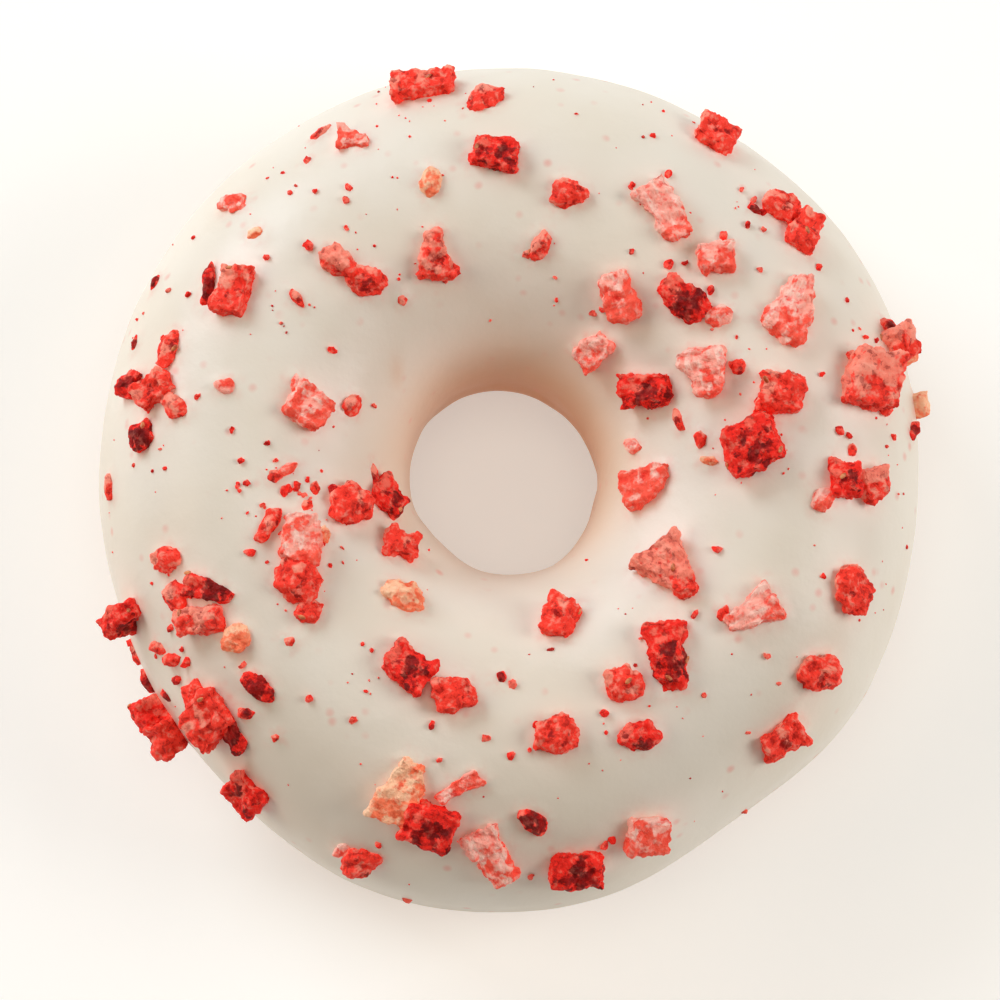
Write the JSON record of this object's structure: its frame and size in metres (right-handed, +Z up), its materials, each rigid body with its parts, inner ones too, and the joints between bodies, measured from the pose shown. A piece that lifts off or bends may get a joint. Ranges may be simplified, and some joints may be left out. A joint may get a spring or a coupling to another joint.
{
  "type": "iced ring doughnut",
  "caption": "Ring doughnut lying flat, its upper half under pale satin icing scattered with dried strawberry pieces and crumbs, with an open hole through the middle.",
  "frame": {"origin": "middle of the base, on the surface the doughnut lies on", "axes": "+Z up along the hole, +X the picture's right, +Y the picture's far side"},
  "size_m": [0.0827, 0.0853, 0.0308],
  "materials": {
    "dough": "matte fried crust",
    "icing": "satin sugar icing"
  },
  "bodies": {
    "root": {"dough_ring": "dough", "icing": "icing"}
  },
  "joints": []
}
